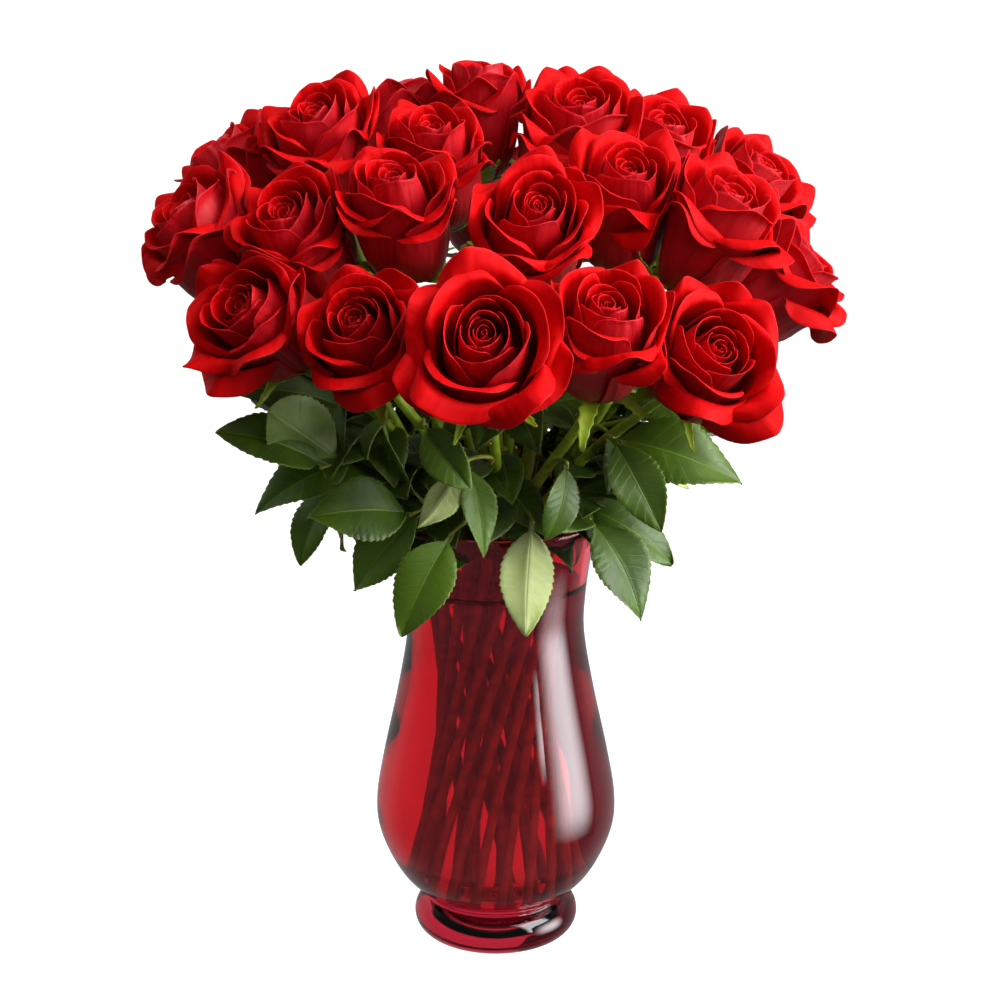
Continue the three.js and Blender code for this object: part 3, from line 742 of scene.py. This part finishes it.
def petal_surface(p):
    """The middle surface of a petal, as a grid from its foot to its lip, and what is where on it."""
    rows_cup, rows_up = p["rows"]
    s = np.linspace(-1, 1, p["columns"])
    off = s - p["tip"] * (1 - s * s)
    side = smooth(np.abs(off) / 0.85)
    upper, crease = petal_edge(p, s, np.abs(off))
    roll = np.radians(p["roll_mid"] + (p["roll_side"] - p["roll_mid"]) * side) * (1 + p["skew"] * off)
    bend = p["bend_mid"] + (p["bend_side"] - p["bend_mid"]) * side
    # the cup, from the foot to the belly
    q = np.linspace(0, 1, rows_cup)[:, None]
    out, up = cup_shape(q * math.pi / 2)
    ones = np.ones((1, p["columns"]))
    r_cup = (p["foot"] + (p["radius"] - p["foot"]) * out) * ones
    z_cup = (p["low"] + (p["belly"] - p["low"]) * up) * ones
    # from the belly to the lip: its direction leans out or in, and rolls over past the crease
    u = np.linspace(0, 1, rows_up)[:, None]
    x = u * upper
    angle = math.radians(p["lean"]) * smooth(x / p["straight"]) + roll * smooth((x - crease) / bend)
    step = upper / (rows_up - 1)
    mid = 0.5 * (angle[1:] + angle[:-1])
    r_up = p["radius"] + np.cumsum(np.sin(mid) * step, 0)
    z_up = p["belly"] + np.cumsum(np.cos(mid) * step, 0)
    r, z = np.vstack([r_cup, r_up]), np.vstack([z_cup, z_up])
    lift = np.vstack([0 * r_cup, angle[1:]])
    free = np.vstack([0 * r_cup, smooth((x[1:] - 0.5 * crease) / (upper - 0.5 * crease))])
    wave = np.sin(p["ripples"] * s + p["phase"]) + 0.5 * np.sin(2.1 * p["ripples"] * s + 2.3 * p["phase"])
    ripple = p["ripple"] * free ** 1.5 * wave
    r, z = r + ripple * np.cos(lift), z - ripple * np.sin(lift)
    # as in a pinwheel, one side stands out and the other is tucked in
    r = r - p["pin"] * s * smooth(z / p["belly"])
    wide = np.where(r > p["radius"], (p["radius"] / np.maximum(r, 0.1)) ** p["narrow"], 1.0)
    theta = p["phi"] + p["half"] * s * wide
    points = np.stack([r * np.cos(theta), r * np.sin(theta), z], -1)
    along = np.vstack([0.35 * q * ones, (0.35 + 0.65 * u[1:]) * ones])
    to_top = np.vstack([np.full_like(r_cup, 99.0), (upper - x)[1:]])
    to_side = (1 - np.abs(s)) * p["half"] * np.minimum(r, p["radius"])
    return points, along, s * np.ones_like(along), np.minimum(to_top, to_side)


def new_petal(rng, height, **facts):
    return {**PETAL_DEFAULTS, "phase": rng.uniform(0, 2 * math.pi), "belly": BELLY * height, **facts}


def spiral_petals(spiral, cup, height, turn, rng):
    """The tight core of a head or the looser petals round it, and the turn at their end."""
    petals = []
    for m in range(spiral["count"]):
        share = m / (spiral["count"] - 1)
        now = {key: first + more * share for key, (first, more) in spiral["growing"].items()}
        top = height * (now.pop("top") + rng.uniform(-spiral["spread"], spiral["spread"]))
        now.update({key: rng.uniform(-most, most) for key, most in spiral["chance"].items()})
        now["phi"] += turn
        now["radius"] *= cup
        petals.append(new_petal(rng, height, **{
            **now, **spiral["fixed"], "foot": spiral["foot"] * now["radius"], "low": spiral["low"] * height,
            "belly": spiral["belly"] * height, "straight": top - spiral["belly"] * height}))
        turn += GOLDEN_ANGLE
    return petals, turn


def outer_petals(cup, opening, height, turn, rng, upward):
    """The whorls that roll over at their lips. The further out, the more the upper petals close."""
    petals = []
    for w, whorl in enumerate(WHORLS):
        turn += rng.uniform(0.4, 0.9)
        flap = whorl["opening"] * opening + whorl["flap"]
        for k in range(whorl["count"]):
            phi = turn + 2 * math.pi * k / whorl["count"] + rng.uniform(-0.16, 0.16)
            up = upward(phi)
            reach = flap * rng.uniform(0.88, 1.12) * (1 - 0.08 * up * w)
            petals.append(new_petal(
                rng, height, phi=phi, radius=whorl["radius"] * cup, flap=reach,
                half=whorl["half"] + rng.uniform(-0.06, 0.06),
                lean=whorl["lean"] + rng.uniform(-3, 3) - 4 * up * w,
                straight=(whorl["crease"] + rng.uniform(-0.025, 0.025) + 0.02 * up * w - BELLY) * height,
                roll_mid=whorl["roll_mid"] + rng.uniform(-14, 14) - 12 * up * w,
                roll_side=whorl["roll_side"] + rng.uniform(-18, 18) - 8 * up * w,
                bend_mid=reach * 0.7, bend_side=3.8 + 0.9 * w, pin=1.4, ripple=0.1 + 0.03 * w,
                ripples=rng.uniform(2.0, 3.2), drop=whorl["drop"], sink=whorl["sink"],
                point=whorl["point"] + rng.uniform(-0.06, 0.06), tip=rng.uniform(-0.4, 0.4),
                skew=rng.uniform(-0.4, 0.4), slope=rng.uniform(-0.05, 0.05), shoulder=whorl["shoulder"],
                narrow=0.9, rows=(8, 24), columns=37, thickness=0.44))
    return petals


def petals_of(rose, rng, upward):
    """Every petal of a head, from the tight spiral in the middle to the outer whorls."""
    cup, height, turn = rose["cup"], rose["height"], rng.uniform(0, 2 * math.pi)
    petals = []
    for spiral in SPIRALS:
        more, turn = spiral_petals(spiral, cup, height, turn, rng)
        petals.extend(more)
    return petals + outer_petals(cup, rose["lip"] - cup, height, turn, rng, upward)


def rose_head(rose, roses):
    """A head of thin closed petals. Their inner sides have the first look, and their backs the second."""
    rng = np.random.default_rng(500 + rose["number"])
    skin = Skin()
    matrix = turn_to(rose["axis"])
    roll = math.radians(rose["roll"])
    oval = rng.uniform(0, math.pi)
    off_centre = rng.uniform(-1, 1, 2) * OFF_CENTRE * rose["cup"]

    def upward(phi):
        """How far a petal's back faces up rather than down, from -1 to 1."""
        return float((matrix @ np.array([math.cos(phi + roll), math.sin(phi + roll), 0]))[2])

    for p in petals_of(rose, rng, upward):
        p["phi"] += roll
        points, along, across, rim = petal_surface(p)
        shape = points.shape
        points = points.reshape(-1, 3)
        theta = np.arctan2(points[:, 1], points[:, 0])
        inward = 1 - np.clip(np.hypot(points[:, 0], points[:, 1]) / rose["cup"], 0, 1) ** 2
        stretch = 1 + OVAL * np.cos(2 * (theta - oval)) + THREE_SIDED * np.cos(3 * theta + oval)
        points[:, :2] *= stretch[:, None]
        points[:, :2] += off_centre * (inward * smooth(points[:, 2] / rose["height"]))[:, None]
        points = give_way(points @ matrix.T + rose["base"], rose, roses).reshape(shape)
        vertices, quads, border = blade(points, p["thickness"])
        values = blade_values(border, petal_along=along, petal_across=across, petal_rim=rim)
        outside = (shape[0] - 1) * (shape[1] - 1)
        looks = (np.arange(len(quads)) < outside).astype(int)
        skin.add(vertices, quads, looks, petal_seed=rng.uniform(), **values)
    return skin.to_object(f"rose_head_{rose['label']}", [PETAL_FACE, PETAL_BACK])


# ---- stems, sepals and leaves ----

STEM_LOOK, LEAF_LOOK = 0, 1


def add_stem(skin, rose, rng):
    """The stem from its foot in the water to the bloom. It slims near there, and its hip swells."""
    curve = free_stem(rose, np.linspace(0, 1, 30)[1:])
    path = np.vstack([np.linspace(rose["foot"], rose["neck"], 14), curve])
    count = len(path)
    radii = np.full(count, STEM_RADIUS * STEM_SLIM) + rng.uniform(-0.06, 0.06, count)
    radii -= STEM_WET_SLIM * smooth((210 - path[:, 2]) / 40)
    to_base = np.linalg.norm(path - rose["base"], axis=1)
    radii -= STEM_NECK_SLIM * smooth(1 - to_base / 70)
    radii += STEM_HIP * smooth(1 - to_base / 8.5)
    high = np.clip((path[:, 2] - STEM_GREEN_FROM) / STEM_GREENING, 0, 1)
    points, quads = tube(path, radii, STEM_SIDES)
    rings = np.concatenate([[0], np.arange(count), [count - 1]])
    skin.add(points, quads, STEM_LOOK, stem_high=np.repeat(high[rings], STEM_SIDES), stem_red=0.0)
    add_thorns(skin, path, rng)


def add_thorns(skin, path, rng):
    for k in range(int(rng.integers(*THORNS))):
        place = int(rng.integers(16, len(path) - 10))
        along = unit(path[place + 1] - path[place])
        side = unit(np.cross(along, heading(rng.uniform(0, 360), 0) + 0.01))
        root = path[place] + side * STEM_RADIUS * 0.7
        thorn = [root, root + side * 1.6 - along * 0.5, root + side * THORN_LENGTH - along * 1.6]
        points, quads = tube(thorn, [1.3, 0.7, 0.08], 8)
        skin.add(points, quads, STEM_LOOK, stem_high=0.6, stem_red=0.7)


def sepal_along_cup(t, cup, height, rng):
    """How far out and up the middle of a sepal is that lies along the cup. Its tip stands off."""
    out, up = cup_shape(0.12 + rng.uniform(1.0, 1.3) * t)
    off = 1.3 + rng.uniform(*SEPAL_TIP_OFF) * smooth((t - 0.45) / 0.55) ** 1.3
    return CUP_FOOT + (cup - CUP_FOOT) * out + off, (BELLY * height - 1) * up - off * 0.4


def hanging_sepal(t, rng):
    """The same for a sepal that curls away below the bloom."""
    length, last = rng.uniform(*SEPAL_LENGTH), math.radians(rng.uniform(*SEPAL_TURN))
    angle = SEPAL_START_TURN + (last - SEPAL_START_TURN) * smooth(t / 0.7)
    angle = angle + rng.uniform(-2.4, 2.4) * smooth((t - 0.6) / 0.5)
    step = length / (len(t) - 1)
    return 4.4 + np.cumsum(np.sin(angle) * step, 0), -0.8 + np.cumsum(np.cos(angle) * step, 0)


def add_sepals(skin, rose, rng):
    """Five narrow sepals with a fringe of teeth. Some lie along the cup, and some curl away below it."""
    to_world = turn_to(rose["axis"]).T
    start = rng.uniform(0, 2 * math.pi)
    t = np.linspace(0, 1, 34)[:, None]
    s = np.linspace(-1, 1, 7)[None, :]
    for k in range(SEPALS):
        phi = start + 2 * math.pi * k / SEPALS + rng.uniform(-0.15, 0.15)
        if rng.uniform() < SEPALS_ALONG_CUP:
            r, z = sepal_along_cup(t, rose["cup"], rose["height"], rng)
        else:
            r, z = hanging_sepal(t, rng)
        slope = np.arctan2(np.gradient(z, axis=0), np.gradient(r, axis=0))
        fringe = 1 + SEPAL_FRINGE * np.maximum(0, np.sin(t * 40 + k)) * smooth((t - 0.2) / 0.2)
        full = 0.6 + 0.7 * np.sin(math.pi * np.minimum(t * 2.6, 1) / 2)
        width = (SEPAL_WIDTH * (1 - t) * full + 0.3) * fringe
        aside = width * s + 1.6 * np.sin(3 * t + phi) * t
        cupped = 0.25 * (width * s) ** 2 / np.maximum(width, 0.5)
        out, up = r - cupped * np.sin(slope), z + cupped * np.cos(slope)
        x = out * math.cos(phi) - aside * math.sin(phi)
        y = out * math.sin(phi) + aside * math.cos(phi)
        points = np.stack([x, y, up], -1) @ to_world + rose["base"]
        vertices, quads, _ = blade(points, BLADE_THICKNESS)
        skin.add(vertices, quads, STEM_LOOK, stem_high=1.0, stem_red=0.0)


def leaflet_frame(root, tip, twist):
    """The directions along a leaflet, up from it and across it."""
    along = unit(tip - root)
    outward = unit(np.array([root[0], root[1], 0])) * 0.8 + np.array([0, 0, 1.0])
    if root[1] < 0:
        outward[1] -= FRONT_LEAN
    up = unit(outward - along * np.dot(outward, along))
    up = turned(up, along, math.radians(twist))
    return along, up, np.cross(along, up)


def leaflet_half_width(t, width, length):
    """Ovate, with teeth that point forwards, and a thin stalk at the foot."""
    body = np.clip((t - LEAF_NECK) / (1 - LEAF_NECK), 0, 1)
    wide = 0.5 * width * length * np.sin(math.pi * body ** 0.8) ** 0.85
    saw = (body * LEAF_TEETH) % 1.0
    wide = wide * (1 + LEAF_TOOTH * (saw - 0.5) * smooth(body / 0.12))
    stalk = 0.9 * (1 - smooth((t - LEAF_NECK) / 0.05)) * (t < LEAF_NECK + 0.05)
    return np.maximum(wide + stalk, 0.05)


def leaflet_lift(t, s, aside, length, fold, rng):
    """The blade arches, folds up from the midrib, swells between its side veins and waves at the edge."""
    arch = LEAFLET_ARCH * length * 4 * t * (1 - t)
    ribs = np.sin(2 * math.pi * (LEAF_VEINS * t - LEAF_SLANT * np.abs(s)))
    swell = LEAF_RELIEF * ribs * np.abs(s) ** 0.6 * (1 - 0.4 * np.abs(s))
    relief = swell - MIDRIB_DEPTH * np.exp(-(aside / 0.9) ** 2)
    wave = LEAF_WAVE * length * np.sin(7 * t + rng.uniform(0, 6)) * s * np.abs(s)
    curl = rng.uniform(-0.05, 0.09) * length * t ** 3
    return arch + np.abs(aside) * math.sin(fold) * (1 - 0.35 * np.abs(s)) + relief + wave - curl


def add_leaflet(skin, root, tip_row, rng, grid=LEAF_GRID, shades=LEAF_SHADES):
    x, y, z, twist, width = tuple(tip_row) + (0, LEAFLET_WIDTH)[len(tip_row) - 3:]
    tip = np.array([x, y, z], float)
    along, up, across = leaflet_frame(root, tip, twist)
    length = np.linalg.norm(tip - root)
    fold = math.radians(LEAF_FOLD + rng.uniform(-5, 8))
    t = np.linspace(0, 1, grid[0])[:, None]
    s = np.linspace(-1, 1, grid[1])[None, :]
    wide = leaflet_half_width(t, width, length)
    aside = wide * s
    lift = leaflet_lift(t, s, aside, length, fold, rng)
    points = root + t[..., None] * length * along
    points = points + (aside * math.cos(fold))[..., None] * across + lift[..., None] * up
    vertices, quads, border = blade(points, BLADE_THICKNESS)
    rim = (1 - np.abs(s)) * wide
    values = blade_values(border, leaf_along=t + 0 * s, leaf_across=s + 0 * t, leaf_rim=rim)
    # a blade's points are its upper skin, its underside and its edge
    count = grid[0] * grid[1]
    # painted shade: undersides that face down get less of their pale colour
    pale = 1.0 if abs(twist) > PALE_TWIST else SHADED_UNDER
    under = pale * np.repeat([0.0, 1.0, 0.3], [count, count, len(border)])
    skin.add(vertices, quads, LEAF_LOOK, leaf_under=under, leaf_seed=rng.uniform(*shades), **values)


def add_leaf(skin, start, hub, tips, rng, **options):
    """A compound leaf: a stalk from the stem to the hub, and the leaflets that it carries."""
    hub = np.array(hub, float)
    middle = (start + hub) / 2 + np.array([0, 0, STALK_RISE])
    t = np.linspace(0, 1, 14)[:, None]
    bow = (1 - t) ** 2 * start + 2 * (1 - t) * t * (2 * middle - (start + hub) / 2) + t * t * hub
    radii = np.linspace(1.25, 0.75, len(bow))
    radii[:3] += [0.9, 0.4, 0.1]
    points, quads = tube(bow, radii, 10)
    skin.add(points, quads, STEM_LOOK, stem_high=0.75, stem_red=0.15)
    for back, tip in zip(ROOT_PLACES, tips):
        add_leaflet(skin, hub + (middle - hub) * back, tip, rng, **options)


def add_fillers(skin, rose, rng):
    """Smaller leaves that fill the dark middle of the bouquet."""
    for place in FILLER_PLACES:
        start = free_stem(rose, [place])[0]
        if start[2] > FILLER_TOP or start[1] < FILLER_FRONT:
            continue
        bearing = math.atan2(start[0], -start[1]) + rng.uniform(-1.2, 1.2)
        drop = rng.uniform(-0.15, 0.75)
        level = math.cos(drop)
        out = np.array([math.sin(bearing) * level, -math.cos(bearing) * level, -math.sin(drop)])
        hub = start + out * rng.uniform(*FILLER_REACH)
        tips = []
        for turn in (0, -FILLER_SPREAD, FILLER_SPREAD):
            c, s = math.cos(turn), math.sin(turn)
            rise = out[2] + rng.uniform(-0.3, 0.2)
            side = unit(np.array([c * out[0] - s * out[1], s * out[0] + c * out[1], rise]))
            tips.append(tuple(hub + side * rng.uniform(*FILLER_LENGTH)) + (rng.uniform(-25, 25),))
        # painted shade: these leaves take the darkest greens
        add_leaf(skin, start, hub, tips, rng, grid=FILLER_GRID, shades=FILLER_PAINTED_SHADE)


def back_leaf_tips(azimuth, height):
    hub = heading(azimuth, 0) * BACK_HUB_RADIUS
    tips = []
    for turn in (0, -BACK_SPREAD, BACK_SPREAD):
        share, fall = (SIDE_LEAFLET, SIDE_DROP) if turn else (1, 1)
        tip = hub + heading(azimuth + turn, 0) * LEAFLET_LENGTH * share
        tips.append((tip[0], tip[1], height - BACK_DROP * fall))
    return (hub[0], hub[1], height), tips


def leafy_stem(rose):
    """One green growth: the stem, its thorns, the sepals under the bloom and the leaves."""
    rng = np.random.default_rng(900 + rose["number"])
    skin = Skin()
    add_stem(skin, rose, rng)
    add_sepals(skin, rose, rng)
    for number, place, hub, *tips in LEAVES:
        if number == rose["number"]:
            add_leaf(skin, free_stem(rose, [place])[0], hub, tips, rng)
    for azimuth, height, number in BACK_LEAVES:
        if number == rose["number"]:
            add_leaf(skin, free_stem(rose, [BACK_PLACE])[0], *back_leaf_tips(azimuth, height), rng)
    add_fillers(skin, rose, rng)
    return skin.to_object(f"rose_stem_{rose['label']}", [STEM, LEAF])


# ---- the whole object ----

def settle(piece, slot, *nodes):
    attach(piece, "root")
    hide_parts(*nodes)


# light reaches the stems through the glass and the water
glass, filling = vase(), water()
glass.visible_shadow = filling.visible_shadow = False
settle(glass, "ruby_glass", "vase")
settle(filling, "water", "water")
roses = roses_placed()
for rose in roses:
    settle(rose_head(rose, roses), "petals", f"bloom_{rose['label']}")
    settle(leafy_stem(rose), "greenery", f"leafy_stem_{rose['label']}")

# ---- the studio, in metres ----
FLOOR_REACH = 1.9
FLOOR_DROP = 0.0002  # keeps the floor out of the plane of the foot
SWEEP = 0.8
WALL_TOP = 3.2
BOUQUET_MIDDLE = (0, 0, 0.3)
# Each softbox: name, place, width, height, glow, and whether shiny things mirror it.
SOFTBOXES = [
    ("softbox_right", (1.20, -0.56, 0.78), 1.25, 1.5, 12.0, True),
    ("softbox_top", (0.75, -0.30, 1.6), 1.5, 1.1, 5.0, True),
    ("softbox_front", (0.25, -1.45, 1.35), 1.5, 1.1, 2.4, False),
    ("softbox_rear", (0.1, 1.6, 1.2), 1.3, 1.0, 2.2, False),
    ("softbox_side", (-1.5, 0.55, 1.0), 1.4, 1.3, 3.2, False),
]
SOFTBOX_GRID = 25
SOFTBOX_FADE = (0.35, 0.2)  # the share of each half that fades towards its edge
# A wide panel at the right that only shines in glass and leaves. Also its target and its fade.
SHEEN = ("sheen_panel", (1.24, -0.24, 0.06), 1.35, 1.3, 13.0, (0, 0, 0.08), (0.9, 0.95))
CARD_SPREAD = (-56, -10)
CARD_REACH = 0.36
CARD_HEIGHT = 0.4
CARD_GLOW = 0.1
BACK_GLOW = 0.34
FRONT_GLOW = 0.11
CAMERA_PLACE = (0.0022, -1.05, 0.49)
CAMERA_TILT = 13.67  # degrees downwards
CAMERA_LENS = 76.22


def stage_piece(name, points, quads, material, **values):
    skin = Skin()
    skin.add(points / MM, quads, **values)
    piece = skin.to_object(name, [material])
    return piece


def backdrop():
    """A pale floor that sweeps up into a round wall, and so is behind the vase from every side."""
    profile = [(radius, -FLOOR_DROP) for radius in (0.001, 0.3, 1.0, FLOOR_REACH)]
    for a in np.linspace(0, math.pi / 2, 16)[1:]:
        profile.append((FLOOR_REACH + SWEEP * math.sin(a), SWEEP * (1 - math.cos(a))))
    profile.append((FLOOR_REACH + SWEEP, WALL_TOP))
    points, quads = lathe(profile)
    piece = stage_piece("backdrop", points, quads[:, ::-1], PAPER)
    # the paper's own light stays off the roses, which the softboxes and the room light
    piece.visible_diffuse = piece.visible_glossy = False


def softbox(name, place, width, height, glow, target=BOUQUET_MIDDLE, fade=SOFTBOX_FADE):
    """A rectangle of light that fades at its edges and faces the bouquet."""
    place, target = np.array(place, float), np.array(target, float)
    away = unit(place - target)
    side = unit(np.cross([0, 0, 1.0], away))
    up = np.cross(away, side)
    u = np.linspace(-1, 1, SOFTBOX_GRID)
    x, y = np.meshgrid(u, u)
    points = place + (x * width / 2)[..., None] * side + (y * height / 2)[..., None] * up
    share = smooth((1 - np.abs(x)) / fade[0]) * smooth((1 - np.abs(y)) / fade[1])
    quads = grid_quads(SOFTBOX_GRID, SOFTBOX_GRID)[:, ::-1]
    piece = stage_piece(name, points.reshape(-1, 3), quads, LAMP, glow=(glow * share).ravel())
    piece.visible_camera = piece.visible_transmission = False
    return piece


def dark_card():
    """A dark card on the floor at the back left, bent up at its end, that only the glass refracts."""
    azimuth = np.radians(np.linspace(*CARD_SPREAD, 13))
    reach = np.array([0.05, 0.2, CARD_REACH, CARD_REACH])[:, None]
    x, y = reach * np.sin(azimuth), reach * np.cos(azimuth)
    z = np.array([0.001, 0.001, 0.001, CARD_HEIGHT])[:, None] + 0 * x
    points = np.stack([x, y, z], -1).reshape(-1, 3)
    piece = stage_piece("dark_card", points, grid_quads(4, 13), LAMP, glow=np.full(len(points), CARD_GLOW))
    piece.visible_camera = piece.visible_diffuse = piece.visible_glossy = piece.visible_shadow = False


def room():
    """The light from all round: weak from in front of the bouquet, and stronger from behind it."""
    n = Nodes("studio", "worlds", "Background")
    split = n.new("SeparateXYZ", Vector=n.new("TexCoord").outputs["Generated"])
    n.set("Color", ROOM_COLOUR)
    n.set("Strength", n.ramp(split.outputs["Y"], 0.0, 0.7, FRONT_GLOW, BACK_GLOW))
    return n.owner


def photo_camera():
    """The camera at the photograph's angle."""
    data = bpy.data.cameras.new("camera")
    data.lens = CAMERA_LENS
    camera = bpy.data.objects.new("camera", data)
    bpy.context.scene.collection.objects.link(camera)
    camera.location = CAMERA_PLACE
    camera.rotation_euler = (math.radians(90 - CAMERA_TILT), 0, 0)
    return camera


backdrop()
for name, place, width, height, glow, mirrored in SOFTBOXES:
    softbox(name, place, width, height, glow).visible_glossy = mirrored
softbox(*SHEEN).visible_diffuse = False
dark_card()
scene = bpy.context.scene
scene.world = room()
scene.view_settings.view_transform = "Standard"
scene.camera = photo_camera()
